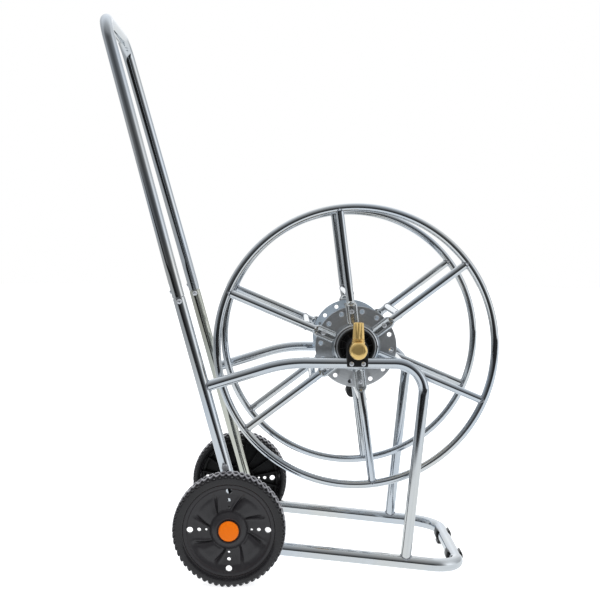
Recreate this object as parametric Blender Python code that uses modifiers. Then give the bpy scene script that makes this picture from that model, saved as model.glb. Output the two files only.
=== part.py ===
"""Garden hose reel cart: a bent-tube trolley on two plastic wheels that carries an open hose reel.

The cart faces +X, with its wheels at the back and its tube foot at the front. +Y is the crank
side, -Y the water-inlet side, and +Z is up. The origin lies on the ground under the middle of the
whole cart. Every place below is measured from the ground point under the axle; the empty
cart_origin then carries the whole cart to the origin.
"""

import math

import bmesh
import bpy
from mathutils import Matrix, Vector

# Clearance between touching pieces
GAP = 0.0003

# Frame tubes
TUBE_R = 0.01125
TUBE_WALL = 0.0013
SUPPORT_R = 0.00975
FRAME_HALF = 0.166
TUBE_SIDES = 12
OFF_FACET = math.radians(3)

# Wheels and axle
WHEEL_R = 0.100
WHEEL_Y = 0.2165
TREAD_HALF = 0.021
AXLE_R = 0.006

# Uprights, leaning back
LEAN = math.radians(15.6)
JOINT_Z = 0.505
UPRIGHT_BOTTOM_Z = 0.044

# Upper handle, measured up its slope from the joint
HANDLE_RISE = 0.525
HANDLE_HALF = 0.1278
HANDLE_BEND = 0.045
HANDLE_STRAIGHT = 0.055
SLEEVE_HALF = 0.045
BOLT_DROP = 0.007
BOLT_R = 0.0028

# Base loop
BASE_R = 0.012
BASE_REAR_Z = 0.0563
BASE_SLOPE = 0.0993
BASE_FRONT_X = 0.417
BASE_BEND = 0.055
CLIP_Y = 0.078
CLIP_WIDTH = 0.028

# Side supports that carry the reel
SUPPORT_Z = 0.3891
SUPPORT_REAR_CORNER_X = 0.0957
SUPPORT_FRONT_CORNER_X = 0.3516
SUPPORT_REAR_SLOPE = 0.2866
LEG_SLOPE = 0.0946
SUPPORT_REAR_BEND = 0.25
SUPPORT_FRONT_BEND = 0.052

# Reel
REEL_X = 0.2256
REEL_Z = 0.415
RING_R = 0.2548
ROD_R = 0.0073
FLANGE_Y = 0.1253
SPOKE_PHASE = math.radians(37.4)
SPOKES = 6
BAR_CIRCLE = 0.098
FLAT_HALF_WIDTH = 0.0111
FLAT_HALF_THICKNESS = 0.0013
SPOKE_INNER = 0.0450
SPOKE_FLAT_END = 0.076
SPOKE_ROUND_START = 0.089
DISC_R = 0.0744
HOLE_CIRCLE = 0.0648
HOLE_OFFSET = math.radians(17)

# Bearings, inlet and crank
BLOCK_INNER_Y = 0.150
BLOCK_OUTER_Y = 0.181
BLOCK_HALF = 0.019
BLOCK_DROP = 0.0315
STEM_R = 0.008
BORE_R = 0.0085
SCREW_X = 0.0106
ELBOW_Y = 0.198
OUTLET_Y = 0.088
OUTLET_START = 0.0105
OUTLET_R = 0.0080
CRANK_LENGTH = 0.1248
CRANK_ANGLE = math.radians(-85.4)
ARM_INNER_Y = 0.1866
ARM_THICKNESS = 0.004
OVERALL_HALF = 0.2415

OUTWARD_NEAR = math.radians(90)
OUTWARD_FAR = math.radians(-90)
SIDES = (("near", -1, OUTWARD_NEAR), ("far", 1, OUTWARD_FAR))

COLOURS = {
    "zinc_tube": ((0.62, 0.66, 0.72), 0.22, 1.0),
    "zinc_upright_far": ((0.60, 0.62, 0.55), 0.25, 1.0),
    "flange_steel": ((0.20, 0.21, 0.22), 0.38, 1.0),
    "fastener_steel": ((0.66, 0.67, 0.70), 0.25, 1.0),
    "crank_steel": ((0.58, 0.62, 0.68), 0.25, 1.0),
    "wheel_plastic": ((0.042, 0.040, 0.043), 0.55, 0.0),
    "tyre_plastic": ((0.046, 0.045, 0.048), 0.62, 0.0),
    "cap_orange": ((0.90, 0.20, 0.01), 0.42, 0.0),
    "black_plastic": ((0.012, 0.012, 0.013), 0.42, 0.0),
    "brass": ((0.62, 0.42, 0.16), 0.28, 1.0),
}


# ---------------------------------------------------------------- scene helpers


def start_empty():
    for obj in list(bpy.data.objects):
        bpy.data.objects.remove(obj, do_unlink=True)
    parts = bpy.data.collections.new("garden_hose_reel_cart")
    bpy.context.scene.collection.children.link(parts)
    return parts


def make_materials():
    made = {}
    for name, (colour, roughness, metallic) in COLOURS.items():
        mat = bpy.data.materials.new(name)
        mat.use_nodes = True
        shader = mat.node_tree.nodes["Principled BSDF"]
        shader.inputs["Base Color"].default_value = (*colour, 1)
        shader.inputs["Roughness"].default_value = roughness
        shader.inputs["Metallic"].default_value = metallic
        made[name] = mat
    return made


def axis_empty(name, location, parent):
    empty = bpy.data.objects.new(name, None)
    empty.location = location
    empty.parent = parent
    PARTS.objects.link(empty)
    return empty


def finish_part(obj, name, material, parent, location=(0, 0, 0), rotation=(0, 0, 0)):
    """Names the piece, shades it, gives it its own material and hangs it on its parent."""
    obj.name = name
    obj.parent = parent
    obj.location = location
    obj.rotation_euler = rotation
    own = MATERIALS[material].copy()
    own.name = name + "_material"
    obj.data.shade_smooth()
    obj.data.set_sharp_from_angle(angle=math.radians(40))
    obj.material_slots[0].link = "OBJECT"
    obj.material_slots[0].material = own
    return obj


def mesh_object(mesh):
    if not mesh.materials:
        mesh.materials.append(None)
    obj = bpy.data.objects.new("shape", mesh)
    PARTS.objects.link(obj)
    return obj


def baked(obj, weld=True):
    """The evaluated shape of obj as a mesh in world space; obj itself is removed."""
    bpy.context.view_layer.update()
    graph = bpy.context.evaluated_depsgraph_get()
    mesh = bpy.data.meshes.new_from_object(obj.evaluated_get(graph), depsgraph=graph)
    mesh.transform(obj.matrix_world)
    bpy.data.objects.remove(obj, do_unlink=True)
    mesh.materials.clear()
    if weld:
        work = bmesh.new()
        work.from_mesh(mesh)
        bmesh.ops.remove_doubles(work, verts=work.verts, dist=1e-5)
        work.to_mesh(mesh)
        work.free()
    return mesh


def combined(body, others, operation):
    for other in others:
        modifier = body.modifiers.new("join", "BOOLEAN")
        modifier.operation = operation
        modifier.solver = "EXACT"
        modifier.object = other
    result = mesh_object(baked(body, weld=False))
    for other in others:
        bpy.data.objects.remove(other, do_unlink=True)
    return result


def carved(body, *cutters):
    return combined(body, cutters, "DIFFERENCE")


def joined(body, *others):
    return combined(body, others, "UNION")


# ---------------------------------------------------------------- shape helpers


def turned(profile, steps, first=0.0):
    """A solid turned about local Z from (radius, height) points that run down the outer side.

    first is the angle of the first line of facets, so that holes can stay off the facet edges.
    """
    closed = profile[0][0] > 0
    count = len(profile)
    edges = [(i, (i + 1) % count) for i in range(count if closed else count - 1)]
    mesh = bpy.data.meshes.new("profile")
    mesh.from_pydata([(r, 0, z) for r, z in profile], edges, [])
    obj = mesh_object(mesh)
    screw = obj.modifiers.new("turn", "SCREW")
    screw.axis = "Z"
    screw.steps = steps
    screw.render_steps = steps
    screw.use_merge_vertices = True
    screw.merge_threshold = 0.00001
    obj.rotation_euler = (0, 0, first)
    return mesh_object(baked(obj))


def rod(start, end, radius, sides=TUBE_SIDES, end_radius=None):
    """A straight round bar between two points, from a cone primitive."""
    start, end = Vector(start), Vector(end)
    work = bmesh.new()
    bmesh.ops.create_cone(
        work,
        cap_ends=True,
        segments=sides,
        radius1=radius,
        radius2=radius if end_radius is None else end_radius,
        depth=(end - start).length,
    )
    turn = (end - start).to_track_quat("Z", "Y").to_matrix().to_4x4()
    turn @= Matrix.Rotation(OFF_FACET, 4, "Z")
    work.transform(Matrix.Translation((start + end) / 2) @ turn)
    mesh = bpy.data.meshes.new("rod")
    work.to_mesh(mesh)
    work.free()
    return mesh_object(mesh)


def box(low, high):
    size = Vector(high) - Vector(low)
    work = bmesh.new()
    bmesh.ops.create_cube(work, size=1)
    work.transform(Matrix.Translation((Vector(high) + Vector(low)) / 2) @ Matrix.Diagonal((*size, 1)))
    mesh = bpy.data.meshes.new("box")
    work.to_mesh(mesh)
    work.free()
    return mesh_object(mesh)


def rounded_path(corners, radii, steps=6):
    """The corner points with each inner corner replaced by an arc of the given radius."""
    points = [Vector(corners[0])]
    for before, corner, after, radius in zip(corners, corners[1:], corners[2:], radii):
        corner = Vector(corner)
        back = (Vector(before) - corner).normalized()
        ahead = (Vector(after) - corner).normalized()
        half = back.angle(ahead) / 2
        centre = corner + (back + ahead).normalized() * radius / math.sin(half)
        first = corner + back * radius / math.tan(half) - centre
        last = corner + ahead * radius / math.tan(half) - centre
        arms = [first.slerp(last, i / steps).normalized() for i in range(steps + 1)]
        points += [centre + arm * radius for arm in arms]
    points.append(Vector(corners[-1]))
    return points


def bent_tube(points, radius):
    """A round tube along the points, from a bevelled curve with filled caps."""
    curve = bpy.data.curves.new("tube", "CURVE")
    curve.dimensions = "3D"
    curve.bevel_depth = radius
    curve.bevel_resolution = TUBE_SIDES // 2 - 2
    curve.use_fill_caps = True
    spline = curve.splines.new("POLY")
    spline.points.add(len(points) - 1)
    for point, place in zip(spline.points, points):
        point.co = (*place, 1)
    obj = bpy.data.objects.new("tube", curve)
    PARTS.objects.link(obj)
    return mesh_object(baked(obj))


def flat_outline(outlines, half_thickness):
    """A plate from closed outlines in local XY; an outline inside another is a hole."""
    curve = bpy.data.curves.new("outline", "CURVE")
    curve.dimensions = "2D"
    curve.fill_mode = "BOTH"
    curve.extrude = half_thickness
    for outline in outlines:
        spline = curve.splines.new("POLY")
        spline.use_cyclic_u = True
        spline.points.add(len(outline) - 1)
        for point, (x, y) in zip(spline.points, outline):
            point.co = (x, y, 0, 1)
    obj = bpy.data.objects.new("outline", curve)
    PARTS.objects.link(obj)
    return mesh_object(baked(obj))


def arc(centre, radius, start, end, steps):
    """Points on an arc, with both ends, angles in degrees."""
    angles = [math.radians(start + (end - start) * i / steps) for i in range(steps + 1)]
    return [(centre[0] + radius * math.cos(a), centre[1] + radius * math.sin(a)) for a in angles]


# ---------------------------------------------------------------- places


def upright_point(z, y=0):
    """The point at height z on an upright's centre line, which passes just in front of the axle."""
    clear = AXLE_R + GAP + TUBE_R
    ahead, above = clear * math.cos(LEAN), clear * math.sin(LEAN)
    return Vector((ahead - (z - WHEEL_R - above) * math.tan(LEAN), y, z))


def handle_point(rise, y):
    """A point in the handle's sloping plane, a distance up the slope from the joint."""
    up = Vector((-math.sin(LEAN), 0, math.cos(LEAN)))
    return upright_point(JOINT_Z, y) + up * rise


def base_z(x):
    return BASE_REAR_Z - BASE_SLOPE * (x - upright_point(BASE_REAR_Z).x)


def leg_foot(y):
    """Where a support's leg meets the centre line of the base rail below it."""
    fall = SUPPORT_Z - base_z(SUPPORT_FRONT_CORNER_X)
    fall /= 1 - BASE_SLOPE * LEG_SLOPE
    x = SUPPORT_FRONT_CORNER_X - fall * LEG_SLOPE
    return Vector((x, y, base_z(x)))


def spoke_angles():
    return [SPOKE_PHASE + 2 * math.pi * i / SPOKES for i in range(SPOKES)]


# ---------------------------------------------------------------- frame


def make_base_loop(root):
    rear = upright_point(BASE_REAR_Z)
    corners = [
        (rear.x, -FRAME_HALF, rear.z),
        (BASE_FRONT_X, -FRAME_HALF, base_z(BASE_FRONT_X)),
        (BASE_FRONT_X, FRAME_HALF, base_z(BASE_FRONT_X)),
        (rear.x, FRAME_HALF, rear.z),
    ]
    loop = bent_tube(rounded_path(corners, (BASE_BEND, BASE_BEND)), BASE_R)
    copes = [upright_cope(side * FRAME_HALF) for _, side, _ in SIDES]
    finish_part(carved(loop, *copes), "base_loop", "zinc_tube", root)


def upright_cope(y):
    """A cutter the size of an upright, with the clearance between touching tubes."""
    return rod(upright_point(0, y), upright_point(JOINT_Z, y), TUBE_R + GAP, 2 * TUBE_SIDES)


def make_uprights(root):
    for name, side, _ in SIDES:
        y = side * FRAME_HALF
        top = handle_point(-GAP, y)
        tube = rod(upright_point(UPRIGHT_BOTTOM_Z, y), top, TUBE_R, 16)
        depth = SLEEVE_HALF + 0.004
        socket = rod(handle_point(-depth, y), handle_point(0.01, y), TUBE_R - TUBE_WALL, 16)
        tube = carved(tube, socket, bolt_hole(y, TUBE_R + 0.01))
        material = "zinc_tube" if name == "near" else "zinc_upright_far"
        finish_part(tube, "upright_" + name, material, root)


def bolt_hole(y, half_length):
    centre = handle_point(-BOLT_DROP, y)
    along = Vector((0, half_length, 0))
    return rod(centre - along, centre + along, BOLT_R + GAP, 10)


def make_handle(root):
    corners = [
        handle_point(0, -FRAME_HALF),
        handle_point(HANDLE_STRAIGHT, -FRAME_HALF),
        handle_point(HANDLE_RISE, -HANDLE_HALF),
        handle_point(HANDLE_RISE, HANDLE_HALF),
        handle_point(HANDLE_STRAIGHT, FRAME_HALF),
        handle_point(0, FRAME_HALF),
    ]
    bends = (0.25, HANDLE_BEND, HANDLE_BEND, 0.25)
    handle = bent_tube(rounded_path(corners, bends), TUBE_R)
    depth = SLEEVE_HALF + 0.004
    sockets = []
    for _, side, _ in SIDES:
        y = side * FRAME_HALF
        sockets.append(rod(handle_point(-0.01, y), handle_point(depth, y), TUBE_R - TUBE_WALL, 16))
    finish_part(carved(handle, *sockets), "handle_loop", "zinc_tube", root)


def make_handle_joints(root):
    sleeve_r = TUBE_R - TUBE_WALL - 2 * GAP
    for name, side, outward in SIDES:
        y = side * FRAME_HALF
        sleeve = rod(handle_point(-SLEEVE_HALF, y), handle_point(SLEEVE_HALF, y), sleeve_r, 16)
        inside = rod(handle_point(-0.06, y), handle_point(0.06, y), sleeve_r - 0.0014, 16)
        sleeve = carved(sleeve, inside, bolt_hole(y, TUBE_R))
        finish_part(sleeve, "handle_sleeve_" + name, "fastener_steel", root)

        centre = handle_point(-BOLT_DROP, 0)
        head = FRAME_HALF + TUBE_R + GAP
        tip = FRAME_HALF - TUBE_R - 0.0035
        bolt = turned(
            [
                (0, head + 0.0034),
                (0.0028, head + 0.0030),
                (0.0047, head + 0.0010),
                (0.0047, head),
                (BOLT_R, head),
                (BOLT_R, tip),
                (0, tip),
            ],
            12,
        )
        finish_part(bolt, "handle_bolt_" + name, "fastener_steel", root, centre, (outward, 0, 0))

        seat = FRAME_HALF - TUBE_R - GAP
        nut = blind_nut(seat, tip)
        finish_part(nut, "handle_nut_" + name, "fastener_steel", root, centre, (outward, 0, 0))


def blind_nut(seat, tip):
    """A domed cap nut whose flat seat faces outward and whose hole takes the bolt's tip."""
    dome = turned(
        [
            (0, seat),
            (0.0048, seat),
            (0.0048, seat - 0.0036),
            (0.0030, seat - 0.0058),
            (0, seat - 0.0066),
        ],
        12,
    )
    return carved(dome, rod((0, 0, tip - GAP), (0, 0, seat + 0.01), BOLT_R + GAP, 12))


def make_supports(root):
    for name, side, _ in SIDES:
        y = side * FRAME_HALF
        rise = SUPPORT_REAR_CORNER_X - upright_point(SUPPORT_Z).x
        start = upright_point(SUPPORT_Z - rise * SUPPORT_REAR_SLOPE, y)
        corners = [
            start,
            (SUPPORT_REAR_CORNER_X, y, SUPPORT_Z),
            (SUPPORT_FRONT_CORNER_X, y, SUPPORT_Z),
            leg_foot(y),
        ]
        bends = (SUPPORT_REAR_BEND, SUPPORT_FRONT_BEND)
        support = bent_tube(rounded_path(corners, bends), SUPPORT_R)
        rail_start = upright_point(BASE_REAR_Z, y)
        rail_end = Vector((BASE_FRONT_X, y, base_z(BASE_FRONT_X)))
        copes = [upright_cope(y), rod(rail_start, rail_end, BASE_R + GAP, 2 * TUBE_SIDES)]
        holes = [screw_hole(x, side) for x in (-SCREW_X, SCREW_X)]
        finish_part(carved(support, *copes, *holes), "side_support_" + name, "zinc_tube", root)


def screw_hole(x, side):
    place = (REEL_X + x, side * FRAME_HALF, SUPPORT_Z)
    along = Vector((0, 0.03, 0))
    return rod(Vector(place) - along, Vector(place) + along, 0.0024, 8)


def make_bearing_blocks(root):
    outline = [(BLOCK_HALF, -BLOCK_DROP), *arc((0, 0), BLOCK_HALF, 0, 180, 12), (-BLOCK_HALF, -BLOCK_DROP)]
    half = (BLOCK_OUTER_Y - BLOCK_INNER_Y) / 2
    slot_z = SUPPORT_Z - REEL_Z
    slot_r = SUPPORT_R + GAP
    for name, side, _ in SIDES:
        plate = flat_outline([outline], half)
        plate.data.transform(Matrix.Rotation(math.radians(90), 4, "X"))
        plate.data.transform(Matrix.Translation((0, side * (BLOCK_INNER_Y + half), 0)))
        y = side * FRAME_HALF
        cutters = [
            rod((0, -0.3, 0), (0, 0.3, 0), BORE_R, 20),
            rod((-0.05, y, slot_z), (0.05, y, slot_z), slot_r, 16),
            box((-0.05, y - slot_r, slot_z - 0.03), (0.05, y + slot_r, slot_z)),
        ]
        for x in (-SCREW_X, SCREW_X):
            cutters.append(rod((x, y - 0.03, slot_z), (x, y + 0.03, slot_z), 0.0024, 8))
        block = carved(plate, *cutters)
        finish_part(block, "bearing_block_" + name, "black_plastic", root, (REEL_X, 0, REEL_Z))


def make_block_screws(root):
    face = BLOCK_OUTER_Y + GAP
    profile = [
        (0, face + 0.0010),
        (0.0018, face + 0.0010),
        (0.0024, face + 0.0024),
        (0.0034, face + 0.0018),
        (0.0041, face),
        (0.0020, face),
        (0.0020, FRAME_HALF - SUPPORT_R - 0.003),
        (0, FRAME_HALF - SUPPORT_R - 0.004),
    ]
    for name, _, outward in SIDES:
        for place, x in (("rear", -SCREW_X), ("front", SCREW_X)):
            screw = turned(profile, 10)
            at = (REEL_X + x, 0, SUPPORT_Z)
            turn = (outward, 0, 0)
            finish_part(screw, f"block_screw_{name}_{place}", "fastener_steel", root, at, turn)


def make_foot_clips(root):
    inner = BASE_R + GAP
    outer = inner + 0.0034
    drop = base_z(BASE_FRONT_X)
    pad = 0.0125
    outline = [
        *arc((0, 0), outer, 38, -48, 6),
        (pad, -drop + 0.002),
        (pad - 0.002, -drop),
        (-pad + 0.002, -drop),
        (-pad, -drop + 0.002),
        *arc((0, 0), outer, 228, 142, 6),
        *arc((0, 0), inner, 142, 398, 14),
    ]
    for name, side, _ in SIDES:
        clip = flat_outline([outline], CLIP_WIDTH / 2)
        clip.data.transform(Matrix.Rotation(math.radians(90), 4, "X"))
        place = (BASE_FRONT_X, side * CLIP_Y, drop)
        finish_part(clip, "foot_clip_" + name, "black_plastic", root, place)


# ---------------------------------------------------------------- wheels


def make_axle(root):
    end = WHEEL_Y + 0.0215
    stop_out = WHEEL_Y - TREAD_HALF - 0.0005
    stop_in = stop_out - 0.0055
    half = [(AXLE_R, end), (AXLE_R, stop_out), (0.009, stop_out), (0.009, stop_in), (AXLE_R, stop_in)]
    mirrored = [(r, -z) for r, z in reversed(half)]
    axle = turned([(0, end), *half, *mirrored, (0, -end)], 16)
    finish_part(axle, "wheel_axle", "fastener_steel", root, (0, 0, WHEEL_R), (OUTWARD_FAR, 0, 0))


def tyre_profile():
    """A band with an outer shoulder, whose inner side stays out of the way of the rim holes."""
    return [
        (0.0806, 0.0165),
        (0.0835, 0.0195),
        (0.0955, TREAD_HALF),
        (WHEEL_R, 0.0155),
        (WHEEL_R, -0.0155),
        (0.0955, -TREAD_HALF),
        (0.0885, -0.0205),
        (0.0860, -0.0165),
        (0.0806, -0.0020),
    ]


def wheel_disc():
    """Rim band, dished web and hub in one moulding, with a row of three holes in each quarter."""
    body = turned(
        [
            (0.0064, 0.0185),
            (0.0175, 0.0185),
            (0.0300, 0.0160),
            (0.0340, 0.0105),
            (0.0640, 0.0080),
            (0.0740, 0.0110),
            (0.0803, 0.0165),
            (0.0803, -0.0020),
            (0.0773, -0.0020),
            (0.0773, 0.0095),
            (0.0640, 0.0048),
            (0.0360, 0.0070),
            (0.0140, 0.0090),
            (0.0140, -TREAD_HALF),
            (0.0064, -TREAD_HALF),
        ],
        28,
        OFF_FACET,
    )
    holes = []
    for quarter in range(4):
        angle = math.radians(90 * quarter)
        for reach, radius in ((0.0687, 0.0055), (0.0525, 0.0035), (0.0400, 0.0023)):
            x, y = reach * math.cos(angle), reach * math.sin(angle)
            holes.append(rod((x, y, -0.01), (x, y, 0.03), radius, 8))
    return carved(body, *holes)


def hub_cap():
    return turned(
        [
            (0, 0.0250),
            (0.0110, 0.0246),
            (0.0160, 0.0230),
            (0.0178, 0.0205),
            (0.0178, 0.0188),
            (0.0155, 0.0188),
            (0.0150, 0.0222),
            (0, 0.0222),
        ],
        24,
    )


def make_wheels(root):
    for name, side, outward in SIDES:
        centre = axis_empty("wheel_axis_" + name, (0, side * WHEEL_Y, WHEEL_R), root)
        turn = (outward, 0, 0)
        retainer = turned([(0.0063, 0.0200), (0.0110, 0.0200), (0.0110, 0.0188), (0.0063, 0.0188)], 16)
        finish_part(turned(tyre_profile(), 48), "wheel_tyre_" + name, "tyre_plastic", centre, rotation=turn)
        finish_part(wheel_disc(), "wheel_disc_" + name, "wheel_plastic", centre, rotation=turn)
        finish_part(retainer, "axle_retainer_" + name, "fastener_steel", centre, rotation=turn)
        finish_part(hub_cap(), "wheel_cap_" + name, "cap_orange", centre, rotation=turn)


# ---------------------------------------------------------------- reel


def make_rings(axis):
    for name, side, _ in SIDES:
        bpy.ops.mesh.primitive_torus_add(
            major_radius=RING_R, minor_radius=ROD_R, major_segments=54, minor_segments=8
        )
        mesh = bpy.context.object.data
        bpy.data.objects.remove(bpy.context.object, do_unlink=True)
        mesh.transform(Matrix.Rotation(math.radians(90), 4, "X"))
        finish_part(mesh_object(mesh), "ring_" + name, "zinc_tube", axis, (0, side * FLANGE_Y, 0))


def spoke_shape():
    """A rod along +X whose inner end is pressed flat, with a bolt hole, and whose outer end is coped."""
    sides = 8
    stations = (SPOKE_INNER, SPOKE_FLAT_END, SPOKE_ROUND_START, RING_R)
    work = bmesh.new()
    rings = []
    for x in stations:
        flat = x <= SPOKE_FLAT_END
        ring = []
        for i in range(sides):
            angle = 2 * math.pi * (i + 0.5) / sides
            across, deep = math.cos(angle), math.sin(angle)
            if flat:
                point = (x, math.copysign(FLAT_HALF_THICKNESS, deep), FLAT_HALF_WIDTH * across)
            else:
                point = (x, ROD_R * deep, ROD_R * across)
            ring.append(work.verts.new(point))
        rings.append(ring)
    for ring, following in zip(rings, rings[1:]):
        for i in range(sides):
            j = (i + 1) % sides
            work.faces.new((ring[i], ring[j], following[j], following[i]))
    work.faces.new(rings[0])
    work.faces.new(rings[-1])
    bmesh.ops.recalc_face_normals(work, faces=work.faces)
    mesh = bpy.data.meshes.new("spoke")
    work.to_mesh(mesh)
    work.free()
    cope = rod((RING_R, 0, -0.03), (RING_R, 0, 0.03), ROD_R + 2 * GAP, 20)
    hole = rod((HOLE_CIRCLE, -0.01, 0), (HOLE_CIRCLE, 0.01, 0), 0.0032, 10)
    return carved(mesh_object(mesh), cope, hole)


def make_spokes(axis):
    for name, side, _ in SIDES:
        for number, angle in enumerate(spoke_angles(), 1):
            place = (0, side * FLANGE_Y, 0)
            finish_part(spoke_shape(), f"spoke_{name}_{number}", "zinc_tube", axis, place, (0, -angle, 0))


def make_drum_bars(axis):
    for number, angle in enumerate(spoke_angles(), 1):
        bar = rod((BAR_CIRCLE, -FLANGE_Y, 0), (BAR_CIRCLE, FLANGE_Y, 0), ROD_R)
        copes = [
            rod((BAR_CIRCLE - 0.03, y, 0), (BAR_CIRCLE + 0.03, y, 0), ROD_R + GAP, 20)
            for y in (-FLANGE_Y, FLANGE_Y)
        ]
        finish_part(carved(bar, *copes), f"drum_bar_{number}", "zinc_tube", axis, rotation=(0, -angle, 0))


def make_flange_discs(axis):
    outer = FLANGE_Y - FLAT_HALF_THICKNESS - GAP
    inner = outer - 0.002
    for name, _, outward in SIDES:
        disc = turned(
            [
                (0.0336, outer + 0.0108),
                (0.0360, outer + 0.0108),
                (0.0436, outer),
                (DISC_R, outer),
                (DISC_R, inner),
                (0.0424, inner),
                (0.0336, outer + 0.0088),
            ],
            30,
            OFF_FACET,
        )
        holes = []
        for angle in (2 * math.pi * i / SPOKES for i in range(SPOKES)):
            for offset, radius in ((-HOLE_OFFSET, 0.0040), (0, 0.0032), (HOLE_OFFSET, 0.0040)):
                x = HOLE_CIRCLE * math.cos(angle + offset)
                y = HOLE_CIRCLE * math.sin(angle + offset)
                holes.append(rod((x, y, inner - 0.01), (x, y, outer + 0.01), radius, 7))
        rotation = (outward, -SPOKE_PHASE, 0)
        finish_part(carved(disc, *holes), "flange_disc_" + name, "flange_steel", axis, rotation=rotation)


def bush_profile(inner_end):
    """The hub bush: a flange behind the disc, a rim through its collar and a bored barrel."""
    back = 0.1175
    seat = FLANGE_Y - FLAT_HALF_THICKNESS - 2 * GAP - 0.002
    return [
        (BORE_R, 0.1400),
        (0.0160, 0.1400),
        (0.0190, 0.1375),
        (0.0190, 0.1250),
        (0.0295, 0.1250),
        (0.0295, 0.1362),
        (0.0332, 0.1362),
        (0.0332, seat),
        (0.0380, seat),
        (0.0380, back),
        (0.0210, back),
        (0.0210, inner_end),
        (BORE_R, inner_end),
    ]


def make_bushes(axis):
    rotation = (OUTWARD_NEAR, 0, 0)
    blind = turned(bush_profile(0.074), 20)
    plug = rod((0, 0, 0.070), (0, 0, 0.0745), 0.0205, 20)
    blind = joined(blind, plug)
    port = rod((0, 0, OUTLET_Y), (OUTLET_START + 0.02, 0, OUTLET_Y), OUTLET_R + GAP, 12)
    finish_part(carved(blind, port), "hub_bush_near", "black_plastic", axis, rotation=rotation)
    far = turned(bush_profile(0.100), 20)
    finish_part(far, "hub_bush_far", "black_plastic", axis, rotation=(OUTWARD_FAR, 0, 0))


def make_hose_outlet(axis):
    outlet = turned(
        [
            (0.0052, 0.0660),
            (0.0092, 0.0660),
            (0.0104, 0.0620),
            (0.0094, 0.0600),
            (0.0104, 0.0540),
            (0.0094, 0.0520),
            (0.0094, 0.0320),
            (0.0135, 0.0320),
            (0.0135, 0.0215),
            (OUTLET_R, 0.0215),
            (OUTLET_R, OUTLET_START),
            (0.0052, OUTLET_START),
        ],
        12,
    )
    finish_part(outlet, "hose_outlet", "brass", axis, (0, -OUTLET_Y, 0), (0, math.radians(90), 0))


def make_crank(axis):
    shaft = turned(
        [
            (0, 0.1962),
            (0.0070, 0.1956),
            (0.0095, 0.1935),
            (0.0095, ARM_INNER_Y + ARM_THICKNESS + GAP),
            (0.0060, ARM_INNER_Y + ARM_THICKNESS + GAP),
            (0.0060, ARM_INNER_Y - GAP),
            (0.0110, ARM_INNER_Y - GAP),
            (0.0110, BLOCK_OUTER_Y + 0.0006),
            (STEM_R, BLOCK_OUTER_Y + 0.0006),
            (STEM_R, 0.0997),
            (0.0125, 0.0997),
            (0.0125, 0.0960),
            (0, 0.0960),
        ],
        20,
    )
    finish_part(shaft, "crank_shaft", "crank_steel", axis, rotation=(OUTWARD_FAR, 0, 0))

    half = 0.011
    outline = arc((0, 0), half, 90, 270, 10) + arc((CRANK_LENGTH, 0), half, -90, 90, 10)
    shaft_hole = arc((0, 0), 0.0064, 0, 337.5, 15)
    pin_hole = arc((CRANK_LENGTH, 0), 0.0044, 0, 330, 11)
    arm = flat_outline([outline, shaft_hole, pin_hole], ARM_THICKNESS / 2)
    arm.data.transform(Matrix.Rotation(math.radians(90), 4, "X"))
    place = (0, ARM_INNER_Y + ARM_THICKNESS / 2, 0)
    finish_part(arm, "crank_arm", "black_plastic", axis, place, (0, -CRANK_ANGLE, 0))

    x, z = CRANK_LENGTH * math.cos(CRANK_ANGLE), CRANK_LENGTH * math.sin(CRANK_ANGLE)
    back = ARM_INNER_Y - GAP
    pin = turned(
        [
            (0, OVERALL_HALF),
            (0.0050, OVERALL_HALF - 0.0004),
            (0.0070, OVERALL_HALF - 0.0015),
            (0.0070, OVERALL_HALF - 0.0030),
            (0.0040, OVERALL_HALF - 0.0030),
            (0.0040, back),
            (0.0070, back),
            (0.0060, back - 0.0022),
            (0, back - 0.0022),
        ],
        16,
    )
    finish_part(pin, "crank_knob_pin", "black_plastic", axis, (x, 0, z), (OUTWARD_FAR, 0, 0))

    knob_axis = axis_empty("crank_knob_axis", (x, 0, z), axis)
    outer, inner = OVERALL_HALF - 0.0035, 0.1922
    knob = turned(
        [
            (0.0043, outer),
            (0.0095, outer),
            (0.0119, outer - 0.0045),
            (0.0116, outer - 0.0120),
            (0.0102, outer - 0.0280),
            (0.0108, inner + 0.0040),
            (0.0095, inner),
            (0.0043, inner),
        ],
        20,
    )
    finish_part(knob, "crank_knob", "black_plastic", knob_axis, rotation=(OUTWARD_FAR, 0, 0))


# ---------------------------------------------------------------- inlet


def make_inlet_elbow(axis):
    """The brass swivel inlet: a stem through the bearing, a round body and an upright hose tail."""
    face = BLOCK_OUTER_Y + 0.0006
    body = turned(
        [
            (0, 0.2165),
            (0.0095, 0.2160),
            (0.0150, 0.2138),
            (0.0172, 0.2100),
            (0.0172, 0.1880),
            (0.0140, face),
            (STEM_R, face),
            (STEM_R, 0.1130),
            (0, 0.1130),
        ],
        24,
    )
    body.data.transform(Matrix.Rotation(OUTWARD_NEAR, 4, "X"))
    tail = rod((0, -ELBOW_Y, 0.006), (0, -ELBOW_Y, 0.0493), 0.0118, 20, 0.0108)
    along_stem = rod((0, -ELBOW_Y, 0), (0, -0.10, 0), 0.0052, 12)
    up_tail = rod((0, -ELBOW_Y, -0.003), (0, -ELBOW_Y, 0.06), 0.0068, 16)
    elbow = carved(joined(body, tail), along_stem, up_tail)
    finish_part(elbow, "inlet_elbow", "brass", axis)


# ---------------------------------------------------------------- assembly


PARTS = start_empty()
MATERIALS = make_materials()


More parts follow.
